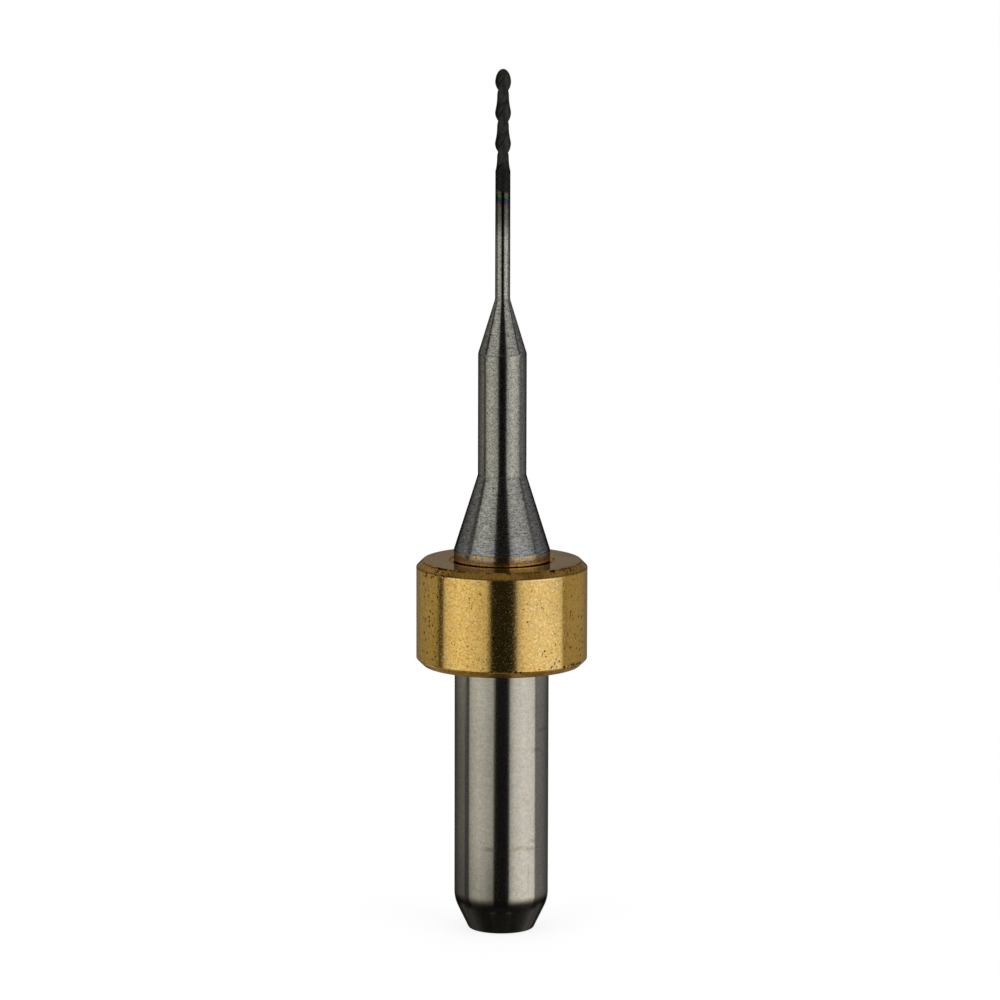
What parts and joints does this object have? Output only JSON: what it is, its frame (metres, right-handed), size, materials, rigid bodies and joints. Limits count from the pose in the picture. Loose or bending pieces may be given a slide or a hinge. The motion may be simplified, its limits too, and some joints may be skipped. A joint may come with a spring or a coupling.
{
  "type": "milling bur",
  "caption": "Ball-nose milling bur: a stepped carbide tool with a fluted black-coated tip, a long slim neck, conical steps, a plain shank and a gold stop ring.",
  "frame": {"origin": "middle of the shank's flat end face, the lowest point of the bur as it stands", "axes": "+Z along the tool's axis, from the shank's end face to the cutting tip"},
  "size_m": [0.0054, 0.0054, 0.0275],
  "materials": {
    "ground_carbide": "ground bare carbide, black coated over the cutting end",
    "gold_brass": "turned gold-coloured brass with small dark pits"
  },
  "bodies": {
    "root": {"carbide_bur": "ground_carbide", "stop_ring": "gold_brass"}
  },
  "joints": []
}
